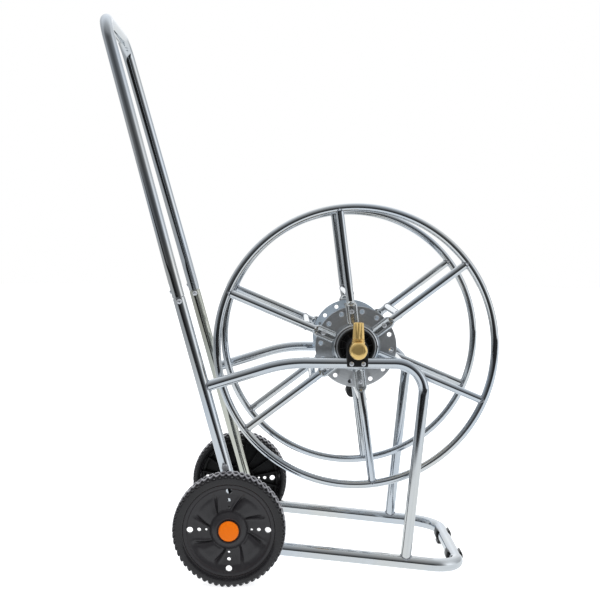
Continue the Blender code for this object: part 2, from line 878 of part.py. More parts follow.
def build():
    front = REEL_X + RING_R + ROD_R
    rear = handle_point(HANDLE_RISE, 0).x - TUBE_R
    root = axis_empty("cart_origin", (-(front + rear) / 2, 0, 0), None)

    make_base_loop(root)
    make_uprights(root)
    make_handle(root)
    make_handle_joints(root)
    make_supports(root)
    make_bearing_blocks(root)
    make_block_screws(root)
    make_foot_clips(root)
    make_axle(root)
    make_wheels(root)

    reel_axis = axis_empty("reel_axis", (REEL_X, 0, REEL_Z), root)
    make_rings(reel_axis)
    make_spokes(reel_axis)
    make_drum_bars(reel_axis)
    make_flange_discs(reel_axis)
    make_bushes(reel_axis)
    make_hose_outlet(reel_axis)
    make_crank(reel_axis)

    inlet_axis = axis_empty("inlet_axis", (REEL_X, 0, REEL_Z), root)
    make_inlet_elbow(inlet_axis)


build()
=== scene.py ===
"""Finished looks of a garden hose reel cart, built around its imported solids.

The cart faces +X, with its wheels at the back. The inlet is on the near side, -Y, and the crank on
the far side, +Y. Frame places are measured from the ground point under the axle.
"""

import math

import bmesh
import bpy
from mathutils import Matrix, Vector, noise


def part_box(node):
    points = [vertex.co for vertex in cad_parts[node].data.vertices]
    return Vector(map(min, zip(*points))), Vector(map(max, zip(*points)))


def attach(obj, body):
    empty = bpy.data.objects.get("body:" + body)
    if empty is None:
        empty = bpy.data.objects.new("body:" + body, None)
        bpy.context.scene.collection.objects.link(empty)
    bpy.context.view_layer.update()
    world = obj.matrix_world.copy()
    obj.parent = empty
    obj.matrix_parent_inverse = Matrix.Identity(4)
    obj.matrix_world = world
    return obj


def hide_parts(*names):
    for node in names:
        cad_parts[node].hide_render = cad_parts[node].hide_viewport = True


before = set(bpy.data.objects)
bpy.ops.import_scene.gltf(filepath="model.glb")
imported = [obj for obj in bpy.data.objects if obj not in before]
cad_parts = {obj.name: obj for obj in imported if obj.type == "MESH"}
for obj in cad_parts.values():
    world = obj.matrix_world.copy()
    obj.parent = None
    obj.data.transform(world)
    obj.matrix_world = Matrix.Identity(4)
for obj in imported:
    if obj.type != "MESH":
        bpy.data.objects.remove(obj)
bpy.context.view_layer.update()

SCENE = bpy.context.scene

# ---- places and sizes


def middle(node):
    low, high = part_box(node)
    return (low + high) / 2


AXLE = middle("wheel_tyre_near")
WHEEL_Y = -AXLE.y
REEL = middle("ring_near")
HUB = Vector((REEL.x, 0, REEL.z))
FLANGE_Y = -REEL.y
SIDES = (("near", -1), ("far", 1))

TUBE_R = 0.01125
TUBE_WALL = 0.0013
SUPPORT_R = 0.00975
BASE_R = 0.012
FRAME_HALF = 0.166
AXLE_R = 0.006
TREAD_R = 0.0998
LEAN = math.radians(15.6)
JOINT_Z = 0.505
UPRIGHT_BOTTOM_Z = 0.044
HANDLE_RISE = 0.5236
HANDLE_HALF = 0.1278
HANDLE_BEND = 0.045
HANDLE_STRAIGHT = 0.055
BOLT_DROP = 0.007
BASE_REAR_Z = 0.0563
BASE_SLOPE = 0.0993
BASE_FRONT_X = 0.417
BASE_BEND = 0.055
CLIP_WIDTH = 0.028
CLIP_Y = 0.078
SUPPORT_Z = 0.3891
SUPPORT_REAR_CORNER_X = 0.0957
SUPPORT_FRONT_CORNER_X = 0.3516
SUPPORT_REAR_SLOPE = 0.2866
LEG_SLOPE = 0.0946

RING_R = 0.2548
ROD_R = 0.0073
SPOKE_PHASE = math.radians(37.4)
SPOKES = 6
BAR_CIRCLE = 0.098
HOLE_CIRCLE = 0.0648
HOLE_OFFSET = math.radians(17)
DISC_R = 0.0744
CRANK_LENGTH = 0.1248
CRANK_ANGLE = math.radians(-85.4)
OVERALL_HALF = 0.2415
ELBOW_Y = 0.198
OUTLET_Y = 0.088
CRANK_ARM_Y = 0.1886
UPRIGHT_BOLT_Z = 0.2005
PRESS_START = 0.0755
PRESS_END = 0.0842
WEB_BORE = 0.0195
WEB_RIM = 0.0803
TYRE_HALF = 0.0206
TAIL_FLUTES = 10
LENS_MM = 68.2
LIGHT_TARGET = Vector((0.1, 0.0, 0.4))


# ---- materials


class Nodes:
    """Short ways to add and link nodes of one tree."""

    def __init__(self, tree):
        self.nodes, self.links = tree.nodes, tree.links

    def add(self, kind, *inputs, **settings):
        node = self.nodes.new(kind)
        for key, value in settings.items():
            setattr(node, key, value)
        for socket, value in zip(node.inputs, inputs):
            if value is not None:
                self.feed(socket, value)
        return node.outputs[0]

    def feed(self, socket, value):
        if isinstance(value, bpy.types.NodeSocket):
            self.links.new(value, socket)
        else:
            socket.default_value = value

    def source(self, kind, output):
        return self.nodes.new(kind).outputs[output]

    def split(self, vector):
        node = self.nodes.new("ShaderNodeSeparateXYZ")
        self.links.new(vector, node.inputs[0])
        return node.outputs

    def maths(self, operation, *inputs):
        return self.add("ShaderNodeMath", *inputs, operation=operation)

    def spread(self, value, low, high, to_low=0.0, to_high=1.0, **settings):
        return self.add("ShaderNodeMapRange", value, low, high, to_low, to_high, **settings)

    def ramp(self, value, low, high, to_low, to_high):
        return self.spread(value, low, high, to_low, to_high, interpolation_type="SMOOTHSTEP")

    def blend(self, factor, first, second):
        """first at 0 and second at 1."""
        rest = self.maths("MULTIPLY", first, self.maths("SUBTRACT", 1.0, factor))
        return self.maths("ADD", rest, self.maths("MULTIPLY", second, factor))


class Look(Nodes):
    """A procedural material: one Principled shader and the nodes that feed it."""

    def __init__(self, name, metallic=0.0, **fixed):
        self.material = bpy.data.materials.new(name)
        self.material.use_nodes = True
        super().__init__(self.material.node_tree)
        self.shader = self.nodes["Principled BSDF"]
        self.shader.inputs["Metallic"].default_value = metallic
        for key, value in fixed.items():
            self.shader.inputs[key.replace("_", " ")].default_value = value
        self.place = self.source("ShaderNodeTexCoord", "Object")
        grain = self.nodes.new("ShaderNodeAttribute")
        grain.attribute_name = "grain"
        self.grain = grain.outputs["Vector"]
        self.normal = None

    def noise(self, source, scale, detail=2.0, roughness=0.5, stretch=(1, 1, 1)):
        vector = self.add("ShaderNodeMapping", source, None, None, stretch)
        return self.add("ShaderNodeTexNoise", vector, None, scale, detail, roughness)

    def mix(self, factor, first, second):
        node = self.nodes.new("ShaderNodeMix")
        node.data_type = "RGBA"
        for index, value in zip((0, 6, 7), (factor, first, second)):
            self.feed(node.inputs[index], (*value, 1) if isinstance(value, tuple) else value)
        return node.outputs[2]

    def edges(self, low, high):
        """0 on flats and 1 on convex edges."""
        return self.spread(self.source("ShaderNodeNewGeometry", "Pointiness"), low, high)

    def bump(self, height, strength, distance):
        node = self.nodes.new("ShaderNodeBump")
        node.inputs["Strength"].default_value = strength
        node.inputs["Distance"].default_value = distance
        self.links.new(height, node.inputs["Height"])
        if self.normal:
            self.links.new(self.normal, node.inputs["Normal"])
        self.normal = node.outputs["Normal"]

    def done(self, colour, roughness):
        self.feed(self.shader.inputs["Base Color"], colour)
        self.feed(self.shader.inputs["Roughness"], roughness)
        if self.normal:
            self.links.new(self.normal, self.shader.inputs["Normal"])
        return self.material


def zinc(name, cool, warm, pressed=None):
    """Bright zinc plate on drawn tube: soft blue and straw patches, drawing lines, fine scuffs.

    Up to the length called pressed, measured along the grain, the tube is duller from the press.
    """
    look = Look(name, 1.0)
    patches = look.spread(look.noise(look.place, 7.0, 3.0), 0.35, 0.68)
    colour = look.mix(patches, cool, warm)
    lines = look.noise(look.grain, 260.0, 2.0, 0.5, (0.01, 1, 1))
    colour = look.mix(look.spread(lines, 0.3, 0.7, 0.0, 0.14), colour, (0.34, 0.37, 0.42))
    cloud = look.noise(look.place, 38.0, 4.0, 0.65)
    colour = look.mix(look.spread(cloud, 0.56, 0.78, 0.0, 0.22), colour, (0.78, 0.82, 0.88))
    specks = look.noise(look.place, 300.0, 2.0)
    colour = look.mix(look.spread(specks, 0.7, 0.8, 0.0, 0.35), colour, (0.24, 0.24, 0.26))
    rough = look.spread(cloud, 0.3, 0.7, 0.04, 0.11)
    rough = look.maths("ADD", rough, look.spread(specks, 0.65, 0.8, 0.0, 0.12))
    if pressed:
        along = look.split(look.grain)[0]
        rough = look.maths("ADD", rough, look.spread(along, pressed, pressed + 0.004, 0.2, 0.0))
    look.bump(lines, 0.04, 0.0001)
    look.bump(look.noise(look.place, 60.0, 2.0), 0.03, 0.0005)
    return look.done(colour, rough)


def turned_metal(name, colour, dark, rough, rings=2600.0, strength=0.12, metallic=1.0, lathed=True):
    """Machined or pressed metal with fine tool lines, concentric where the piece was turned."""
    look = Look(name, metallic)
    lines = look.noise(look.grain if lathed else look.place, rings, 2.0, 0.6, (0.02, 1, 1))
    tone = look.mix(look.spread(lines, 0.3, 0.7, 0.0, 0.35), colour, dark)
    stain = look.noise(look.place, 60.0, 4.0, 0.6)
    tone = look.mix(look.spread(stain, 0.45, 0.75, 0.0, 0.45), tone, dark)
    look.bump(lines, strength, 0.00005)
    look.bump(look.noise(look.place, 90.0, 3.0), 0.05, 0.0003)
    return look.done(tone, look.spread(stain, 0.3, 0.7, rough, rough + 0.12))


def plastic(name, colour, worn, rough, grain_size=900.0, grain_depth=0.00008, crest=None, **fixed):
    """Moulded plastic: fine spark grain, dust in the colour and slightly paler worn edges.

    At the radius called crest, the ridges of a tread are painted paler: a painted sheen on their tops.
    """
    look = Look(name, 0.0, **fixed)
    cloud = look.noise(look.place, 22.0, 4.0, 0.6)
    tone = look.mix(look.spread(cloud, 0.35, 0.7, 0.0, 0.5), colour, worn)
    tone = look.mix(look.edges(0.53, 0.62), tone, worn)
    dust = look.noise(look.place, 260.0, 3.0, 0.7)
    tone = look.mix(look.spread(dust, 0.58, 0.8, 0.0, 0.35), tone, worn)
    if crest:
        # Painted sheen: a pale grey mixed onto the ridge tops of a tread.
        radius = look.split(look.grain)[1]
        tone = look.mix(look.spread(radius, crest - 0.0022, crest - 0.0006), tone, (0.22, 0.215, 0.238))
    look.bump(look.noise(look.place, grain_size, 2.0), 0.35, grain_depth)
    look.bump(cloud, 0.1, 0.0006)
    return look.done(tone, look.spread(dust, 0.25, 0.75, rough - 0.05, rough + 0.1))


ZINC = zinc("zinc_plate", (0.6, 0.655, 0.72), (0.69, 0.7, 0.69))
ZINC_SPOKE = zinc("zinc_pressed", (0.6, 0.655, 0.72), (0.69, 0.7, 0.69), pressed=0.0775)
# Painted reflection: a beige-green tinted copy of the zinc plate, used on the far upright only.
ZINC_FAR_REFLECTION_TINT = zinc("zinc_passivated", (0.56, 0.585, 0.53), (0.66, 0.65, 0.56))
WELD = turned_metal("weld_bead", (0.46, 0.48, 0.52), (0.2, 0.2, 0.22), 0.3, 1400.0, 0.35)
FASTENER = turned_metal("fastener_zinc", (0.74, 0.76, 0.8), (0.5, 0.52, 0.55), 0.26, metallic=0.72)
FITTING = turned_metal(
    "fitting_zinc", (0.74, 0.76, 0.8), (0.5, 0.52, 0.55), 0.26, metallic=0.72, lathed=False
)
CRANK = turned_metal("crank_zinc", (0.62, 0.66, 0.72), (0.36, 0.38, 0.42), 0.2, 700.0)
FLANGE = turned_metal("flange_satin", (0.58, 0.6, 0.62), (0.4, 0.41, 0.43), 0.28, 700.0, 0.2, 0.86)
# Painted light: a paler, bluer copy of the flange steel for the far plate, which is the same steel as the
# near one.
FLANGE_FAR_PAINTED_LIGHT = turned_metal("flange_far_painted_light", (0.62, 0.72, 0.82), (0.48, 0.56, 0.64), 0.34, 900.0, 0.2, 0.6)
BRASS = turned_metal("machined_brass", (0.88, 0.62, 0.24), (0.7, 0.46, 0.16), 0.13, 500.0, 0.03, 0.72)
WHEEL = plastic("wheel_charcoal", (0.021, 0.0195, 0.0222), (0.03, 0.028, 0.031), 0.3)
# TREAD_R as crest puts the painted sheen on the tread's ridge tops.
TYRE = plastic(
    "tread_charcoal", (0.01, 0.009, 0.0105), (0.021, 0.02, 0.023), 0.24, 700.0, 0.00002, TREAD_R,
    Specular_IOR_Level=0.35, Coat_Weight=0.25, Coat_Roughness=0.12,
)
BLACK = plastic("black_moulded", (0.0045, 0.0045, 0.005), (0.012, 0.012, 0.013), 0.3)
SHELL = plastic(
    "wheel_inner_black", (0.0025, 0.0025, 0.003), (0.006, 0.006, 0.007), 0.4, Specular_IOR_Level=0.3
)
ORANGE = plastic(
    "orange_moulded", (1.0, 0.205, 0.0), (0.92, 0.17, 0.0), 0.45, 1100.0, Specular_IOR_Level=0.25
)


# ---- shape helpers


def mesh_object(verts, faces, grain=None):
    mesh = bpy.data.meshes.new("shape")
    mesh.from_pydata(verts, [], faces)
    if grain:
        write_grain(mesh, grain)
    return new_object(mesh)


def write_grain(mesh, values):
    attribute = mesh.attributes.get("grain") or mesh.attributes.new("grain", "FLOAT_VECTOR", "POINT")
    attribute.data.foreach_set("vector", [number for value in values for number in value])


def turned_grain(mesh):
    """Grain that runs round local Z, so tool lines come out concentric."""
    write_grain(mesh, [(0, math.hypot(v.co.x, v.co.y), v.co.z) for v in mesh.vertices])


def plain_grain(mesh):
    write_grain(mesh, [tuple(v.co) for v in mesh.vertices])


def sweep(points, radius, sides=36, closed=False, recess=0.0, swell=None):
    """A round bar along the points. recess hollows the first end, swell(i) scales the radius there."""
    points = [Vector(p) for p in points]
    count = len(points)
    verts, faces, grain = [], [], []
    normal, along = None, 0.0
    for i, point in enumerate(points):
        before = points[i - 1] if closed or i else point
        after = points[(i + 1) % count] if closed or i < count - 1 else point
        tangent = (after - before).normalized()
        if normal is None:
            normal = tangent.orthogonal().normalized()
        normal = (normal - tangent * normal.dot(tangent)).normalized()
        side = tangent.cross(normal)
        if i:
            along += (point - points[i - 1]).length
        size = radius * (swell(i) if swell else 1.0)
        for k in range(sides):
            angle = 2 * math.pi * k / sides
            out = normal * math.cos(angle) + side * math.sin(angle)
            verts.append(point + out * size)
            grain.append((along, *polar(size, angle)))
    for i in range(count if closed else count - 1):
        for k in range(sides):
            a, b = i * sides + k, i * sides + (k + 1) % sides
            step = ((i + 1) % count) * sides - i * sides
            faces.append((a, b, b + step, a + step))
    if not closed:
        for first, inward in ((0, points[1] - points[0]), ((count - 1) * sides, points[-2] - points[-1])):
            centre = points[0] if first == 0 else points[-1]
            inward = inward.normalized()
            levels = [(radius - 0.0005, -0.0004)]
            if recess and first == 0:
                levels += [(radius - TUBE_WALL, -0.0004), (radius - TUBE_WALL, recess)]
            last = first
            for size, depth in levels:
                start = len(verts)
                for k in range(sides):
                    arm = (verts[first + k] - centre).normalized()
                    verts.append(centre + arm * size + inward * depth)
                    grain.append((0, *arm.xy * size))
                for k in range(sides):
                    j = (k + 1) % sides
                    faces.append((last + k, start + k, start + j, last + j))
                last = start
            faces.append(tuple(range(last, last + sides)))
    obj = mesh_object(verts, faces, grain)
    fix_normals(obj)
    return obj


def fix_normals(obj, weld=0.0):
    work = bmesh.new()
    work.from_mesh(obj.data)
    if weld:
        bmesh.ops.remove_doubles(work, verts=work.verts, dist=weld)
    bmesh.ops.recalc_face_normals(work, faces=work.faces)
    work.to_mesh(obj.data)
    work.free()


def softened(profile, radius, closed=True, steps=3):
    """The outline with each corner eased into a short curve."""
    result = []
    count = len(profile)
    for i, point in enumerate(profile):
        if not closed and i in (0, count - 1):
            result.append(point)
            continue
        here = Vector(point)
        before, after = Vector(profile[i - 1]), Vector(profile[(i + 1) % count])
        to_before, to_after = before - here, after - here
        cut = min(radius, 0.45 * to_before.length, 0.45 * to_after.length)
        first = here + to_before.normalized() * cut
        last = here + to_after.normalized() * cut
        for k in range(steps + 1):
            t = k / steps
            result.append(tuple(first * (1 - t) ** 2 + here * 2 * t * (1 - t) + last * t * t))
    return result


def hexagon(across_flats):
    """Radius of a hexagon at an angle."""

    def radius(angle):
        return across_flats / 2 / math.cos((angle % (math.pi / 3)) - math.pi / 6)

    return radius


def stack(rings, steps=48, closed=False):
    """A solid from (radius or radius function, height) rings; a zero radius closes it."""
    verts, faces, rows = [], [], []
    for radius, height in rings:
        if radius == 0:
            rows.append([len(verts)])
            verts.append((0, 0, height))
            continue
        row = []
        for k in range(steps):
            angle = 2 * math.pi * k / steps
            size = radius(angle) if callable(radius) else radius
            row.append(len(verts))
            verts.append((*polar(size, angle), height))
        rows.append(row)
    pairs = list(zip(rows, rows[1:]))
    if closed:
        pairs.append((rows[-1], rows[0]))
    for first, second in pairs:
        for k in range(steps):
            j = (k + 1) % steps
            a, b = first[k % len(first)], first[j % len(first)]
            c, d = second[j % len(second)], second[k % len(second)]
            face = list(dict.fromkeys((a, b, c, d)))
            if len(face) > 2:
                faces.append(face)
    obj = mesh_object(verts, faces)
    fix_normals(obj)
    turned_grain(obj.data)
    return obj


def lathe(profile, steps=64, ease=0.0006):
    """A turned solid: a profile that starts and ends on the axis is open, any other is a closed loop."""
    closed = profile[0][0] > 0
    return stack(softened(profile, ease, closed), steps, closed)


def slab(outlines, half, ease=0.0006):
    """A plate with eased edges from closed outlines in local XY; an inner outline is a hole."""
    curve = bpy.data.curves.new("outline", "CURVE")
    curve.dimensions = "2D"
    curve.fill_mode = "BOTH"
    curve.extrude = half - ease
    curve.bevel_depth = ease
    curve.bevel_resolution = 2
    curve.offset = -ease
    for outline in outlines:
        spline = curve.splines.new("POLY")
        spline.use_cyclic_u = True
        spline.points.add(len(outline) - 1)
        for point, (x, y) in zip(spline.points, outline):
            point.co = (x, y, 0, 1)
    obj = bpy.data.objects.new("outline", curve)
    SCENE.collection.objects.link(obj)
    obj = new_object(evaluated(obj))
    fix_normals(obj, 0.00001)
    return obj


def evaluated(obj):
    bpy.context.view_layer.update()
    graph = bpy.context.evaluated_depsgraph_get()
    mesh = bpy.data.meshes.new_from_object(obj.evaluated_get(graph), depsgraph=graph)
    drop(obj)
    return mesh


def carved(obj, cutters):
    """obj with the cutters taken away; the cutters are joined first, so it is one Boolean."""
    cutter = merged(cutters)
    modifier = obj.modifiers.new("cut", "BOOLEAN")
    modifier.operation = "DIFFERENCE"
    modifier.solver = "EXACT"
    modifier.object = cutter
    mesh = evaluated(obj)
    drop(cutter)
    return new_object(mesh)


def merged(objects):
    """Several meshes as one object, each keeping its grain."""
    work = bmesh.new()
    for obj in objects:
        work.from_mesh(obj.data)
    mesh = bpy.data.meshes.new("shape")
    work.to_mesh(mesh)
    work.free()
    for obj in objects:
        drop(obj)
    return new_object(mesh)


def moved(obj, matrix):
    obj.data.transform(matrix)
    if matrix.determinant() < 0:
        obj.data.flip_normals()
    return obj


def copied(obj, matrix):
    other = bpy.data.objects.new(obj.name, obj.data.copy())
    SCENE.collection.objects.link(other)
    return moved(other, matrix)


def place(obj, name, look, body, *nodes, sharp=35):
    """Names and paints the piece, hangs it on its body and hides the solids it stands for."""
    obj.name = name
    obj.data.name = name
    if "grain" not in obj.data.attributes:
        plain_grain(obj.data)
    obj.data.materials.clear()
    obj.data.materials.append(look)
    obj.data.shade_smooth()
    obj.data.set_sharp_from_angle(angle=math.radians(sharp))
    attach(obj, body)
    if nodes:
        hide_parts(*nodes)
    return obj


def at(x, y, z):
    return Matrix.Translation((x, y, z))


def turned(degrees, axis):
    return Matrix.Rotation(math.radians(degrees), 4, axis)


def facing(side):
    """Local Z turned to point outward along Y."""
    return turned(-90 * side, "X")


def drop(obj):
    bpy.data.objects.remove(obj, do_unlink=True)


def polar(radius, angle):
    return radius * math.cos(angle), radius * math.sin(angle)


def new_object(mesh):
    obj = bpy.data.objects.new("shape", mesh)
    SCENE.collection.objects.link(obj)
    return obj


def ring_faces(rows, count):
    """Quads round a closed loop of rows, each row a closed loop of its own."""
    faces = []
    for i in range(rows):
        j = (i + 1) % rows
        for k in range(count):
            n = (k + 1) % count
            faces.append((i * count + k, j * count + k, j * count + n, i * count + n))
    return faces


def outward(side, centre, phase=0.0):
    """Local Z points outward along Y from the middle plane, local X stays +X, turned by phase."""
    return at(centre.x, 0, centre.z) @ Matrix.Rotation(-phase, 4, "Y") @ facing(side)


def arc(centre, radius, start, end, steps):
    angles = [math.radians(start + (end - start) * i / steps) for i in range(steps + 1)]
    return [(centre[0] + radius * math.cos(a), centre[1] + radius * math.sin(a)) for a in angles]


def circle(radius, steps=40, centre=(0, 0)):
    return arc(centre, radius, 0, 360 * (steps - 1) / steps, steps - 1)


def rounded_path(corners, radii, steps=18):
    """The corner points with each inner corner replaced by an arc."""
    points = [Vector(corners[0])]
    for before, corner, after, radius in zip(corners, corners[1:], corners[2:], radii):
        corner = Vector(corner)
        back = (Vector(before) - corner).normalized()
        ahead = (Vector(after) - corner).normalized()
        half = back.angle(ahead) / 2
        centre = corner + (back + ahead).normalized() * radius / math.sin(half)
        first = corner + back * radius / math.tan(half) - centre
        last = corner + ahead * radius / math.tan(half) - centre
        arms = [first.slerp(last, i / steps).normalized() for i in range(steps + 1)]
        points += [centre + arm * radius for arm in arms]
    points.append(Vector(corners[-1]))
    return points


def weld_bead(centre, branch, main, branch_r, main_r, bead=0.0013, seed=0):
    """A rippled fillet where a round branch, along branch, meets a round main tube along main."""
    branch, main = Vector(branch).normalized(), Vector(main).normalized()
    side = branch.cross(main).normalized()
    other = side.cross(branch)
    points = []
    count = 72
    for i in range(count):
        angle = 2 * math.pi * i / count
        rim = (other * math.cos(angle) + side * math.sin(angle)) * branch_r
        flat_rim = rim - main * rim.dot(main)
        flat_axis = branch - main * branch.dot(main)
        a = flat_axis.dot(flat_axis)
        b = 2 * flat_axis.dot(flat_rim)
        c = flat_rim.dot(flat_rim) - main_r * main_r
        root = math.sqrt(max(0.0, b * b - 4 * a * c))
        points.append(Vector(centre) + rim + branch * ((root - b) / (2 * a)))

    def ripple(i):
        wave = 0.5 + 0.5 * math.cos(2 * math.pi * i / count * 15)
        return 0.8 + 0.22 * wave + 0.16 * noise.noise(Vector((i * 0.22, seed * 3.7, 0)))

    return sweep(points, bead, 10, True, swell=ripple)


# ---- frame


def upright_point(z, y=0.0):
    clear = AXLE_R + 0.0003 + TUBE_R
    ahead, above = clear * math.cos(LEAN), clear * math.sin(LEAN)
    return Vector((AXLE.x + ahead - (z - AXLE.z - above) * math.tan(LEAN), y, z))


UP_SLOPE = Vector((-math.sin(LEAN), 0, math.cos(LEAN)))


def handle_point(rise, y):
    return upright_point(JOINT_Z, y) + UP_SLOPE * rise


def base_z(x):
    """Height of the base rails at x, measured from the axle."""
    return BASE_REAR_Z - BASE_SLOPE * (x + AXLE.x - upright_point(BASE_REAR_Z).x)


def leg_foot(y):
    fall = (SUPPORT_Z - base_z(SUPPORT_FRONT_CORNER_X)) / (1 - BASE_SLOPE * LEG_SLOPE)
    x = SUPPORT_FRONT_CORNER_X - fall * LEG_SLOPE
    return Vector((AXLE.x + x, y, base_z(x)))


def make_frame_tubes():
    rear = upright_point(BASE_REAR_Z)
    front = AXLE.x + BASE_FRONT_X
    corners = [
        (rear.x + 0.008, -FRAME_HALF, rear.z), (front, -FRAME_HALF, base_z(BASE_FRONT_X)),
        (front, FRAME_HALF, base_z(BASE_FRONT_X)), (rear.x + 0.008, FRAME_HALF, rear.z),
    ]
    loop = sweep(rounded_path(corners, (BASE_BEND, BASE_BEND)), BASE_R, 40)
    place(loop, "base_tube", ZINC, "frame", "base_loop")

    for name, side in SIDES:
        y = side * FRAME_HALF
        ends = (upright_point(UPRIGHT_BOTTOM_Z, y), handle_point(-0.0008, y))
        tube = sweep(ends, TUBE_R, 40, recess=0.05)
        # The far upright takes the tinted zinc copy: painted reflection.
        place(tube, "upright_tube_" + name, ZINC if side < 0 else ZINC_FAR_REFLECTION_TINT, "frame", "upright_" + name)

        rise = SUPPORT_REAR_CORNER_X + AXLE.x - upright_point(SUPPORT_Z).x
        start = upright_point(SUPPORT_Z - rise * SUPPORT_REAR_SLOPE, y)
        foot = leg_foot(y)
        corners = [
            start + Vector((0.008, 0, 0.008 * SUPPORT_REAR_SLOPE)),
            (AXLE.x + SUPPORT_REAR_CORNER_X, y, SUPPORT_Z),
            (AXLE.x + SUPPORT_FRONT_CORNER_X, y, SUPPORT_Z),
            foot + Vector((0, 0, 0.006)),
        ]
        support = sweep(rounded_path(corners, (0.25, 0.052)), SUPPORT_R, 36)
        place(support, "support_tube_" + name, ZINC, "frame", "side_support_" + name)

        rail = Vector((1, 0, -BASE_SLOPE))
        rear_end = upright_point(BASE_REAR_Z, y)
        beads = [
            weld_bead(start, (1, 0, SUPPORT_REAR_SLOPE), UP_SLOPE, SUPPORT_R, TUBE_R, seed=1 + side),
            weld_bead(foot, (LEG_SLOPE, 0, 1), rail, SUPPORT_R, BASE_R, 0.0016, seed=2 + side),
            weld_bead(rear_end, rail, UP_SLOPE, BASE_R - 0.0008, TUBE_R, seed=3 + side),
        ]
        place(merged(beads), "frame_welds_" + name, WELD, "frame")


def make_handle():
    corners = [
        handle_point(0.0008, -FRAME_HALF),
        handle_point(HANDLE_STRAIGHT, -FRAME_HALF),
        handle_point(HANDLE_RISE, -HANDLE_HALF),
        handle_point(HANDLE_RISE, HANDLE_HALF),
        handle_point(HANDLE_STRAIGHT, FRAME_HALF),
        handle_point(0.0008, FRAME_HALF),
    ]
    path = rounded_path(corners, (0.25, HANDLE_BEND, HANDLE_BEND, 0.25))
    place(sweep(path, TUBE_R, 40), "handle_tube", ZINC, "frame", "handle_loop")


def socket_screw(head_r, head_h, socket, shank_r, shank_end, seat=0.0):
    """A domed screw with a hexagon socket; its head sits on seat and its shank runs down to shank_end."""
    top = seat + head_h
    hexagon_r = hexagon(socket)
    rings = [
        (0, top - head_h * 0.72), (hexagon_r, top - head_h * 0.72),
        (hexagon_r, top - head_h * 0.04),
        (lambda angle: hexagon_r(angle) + 0.0003, top),
        (head_r * 0.62, top - head_h * 0.07), (head_r * 0.8, top - head_h * 0.22),
        (head_r * 0.93, top - head_h * 0.48), (head_r, top - head_h * 0.8), (head_r * 0.98, seat),
        (shank_r, seat), (shank_r, shank_end), (0, shank_end),
    ]
    return stack(rings, 48)


def make_handle_joints():
    for name, side in SIDES:
        centre = handle_point(-BOLT_DROP, 0)
        seat = FRAME_HALF + TUBE_R - 0.0006
        screw = socket_screw(0.0048, 0.004, 0.0032, 0.0026, FRAME_HALF - TUBE_R - 0.004, seat)
        screw = moved(screw, outward(side, centre))
        place(screw, "handle_screw_" + name, FASTENER, "frame", "handle_bolt_" + name)

        inner = FRAME_HALF - TUBE_R
        nut = stack([
            (0.0026, inner + 0.0005), (hexagon(0.0092), inner + 0.0005),
            (hexagon(0.0094), inner - 0.0006), (hexagon(0.0094), inner - 0.003),
            (0.0044, inner - 0.0036), (0.004, inner - 0.005), (0.0028, inner - 0.0062),
            (0, inner - 0.0067),
        ], 48)
        nut = moved(nut, outward(side, centre))
        place(nut, "handle_cap_nut_" + name, FASTENER, "frame", "handle_nut_" + name)

        # The rivet that holds the inner sleeve, on the rear of the handle tube.
        spot = handle_point(0.013, side * FRAME_HALF)
        rear = Vector((-math.cos(LEAN), 0, -math.sin(LEAN)))
        rivet = [(0, 0.0024), (0.0022, 0.0021), (0.0036, 0.001), (0.004, -0.0006), (0, -0.0006)]
        turn = rear.to_track_quat("Z", "Y").to_matrix().to_4x4()
        rivet = moved(lathe(rivet, 24), at(*(spot + rear * TUBE_R)) @ turn)
        place(rivet, "handle_rivet_" + name, FASTENER, "frame")

        # The bolt that closes each upright above its wheel.
        lower = upright_point(UPRIGHT_BOLT_Z)
        bolt = stack([
            (0, 0.0038), (0.0024, 0.0038), (hexagon(0.009), 0.0034), (hexagon(0.0096), 0.003),
            (hexagon(0.0096), 0.0008), (0.0062, 0.0008), (0.0064, 0.0004), (0.0064, -0.0016),
            (0, -0.0016),
        ], 48)
        bolt = moved(bolt, at(0, 0, FRAME_HALF + TUBE_R))
        place(moved(bolt, outward(side, lower)), "upright_bolt_" + name, FASTENER, "frame")


def make_blocks():
    outline = softened([(0.019, -0.0315), *arc((0, 0), 0.019, 0, 180, 30), (-0.019, -0.0315)], 0.002)
    slot_z = SUPPORT_Z - REEL.z
    for name, side in SIDES:
        block = slab([outline, circle(0.0085, 48)], 0.0155, 0.0012)
        block = moved(block, at(0, 0, 0.1655))
        bore = SUPPORT_R + 0.0002
        slot = lathe([(0, 0.05), (bore, 0.05), (bore, -0.05), (0, -0.05)], 48, 0.0)
        slot = moved(slot, at(0, -slot_z, FRAME_HALF) @ turned(90, "Y"))
        slot = moved(slot, Matrix.Scale(-1, 4, (0, 1, 0)))
        low, high = FRAME_HALF - bore, FRAME_HALF + bore
        open_side = box_mesh((-0.05, slot_z - 0.03, low), (0.05, slot_z, high))
        block = carved(carved(block, [slot]), [open_side])
        block = moved(block, outward(side, HUB))
        place(block, "bearing_housing_" + name, BLACK, "frame", "bearing_block_" + name)
        for spot, x in (("rear", -0.0106), ("front", 0.0106)):
            screw = socket_screw(0.0043, 0.0028, 0.0026, 0.002, 0.155, 0.1808)
            screw = moved(screw, outward(side, Vector((REEL.x + x, 0, SUPPORT_Z))))
            place(screw, f"housing_screw_{name}_{spot}", FASTENER, "frame", f"block_screw_{name}_{spot}")


def box_mesh(low, high):
    size = Vector(high) - Vector(low)
    work = bmesh.new()
    bmesh.ops.create_cube(work, size=1)
    work.transform(Matrix.Translation((Vector(high) + Vector(low)) / 2) @ Matrix.Diagonal((*size, 1)))
    mesh = bpy.data.meshes.new("box")
    work.to_mesh(mesh)
    work.free()
    return new_object(mesh)


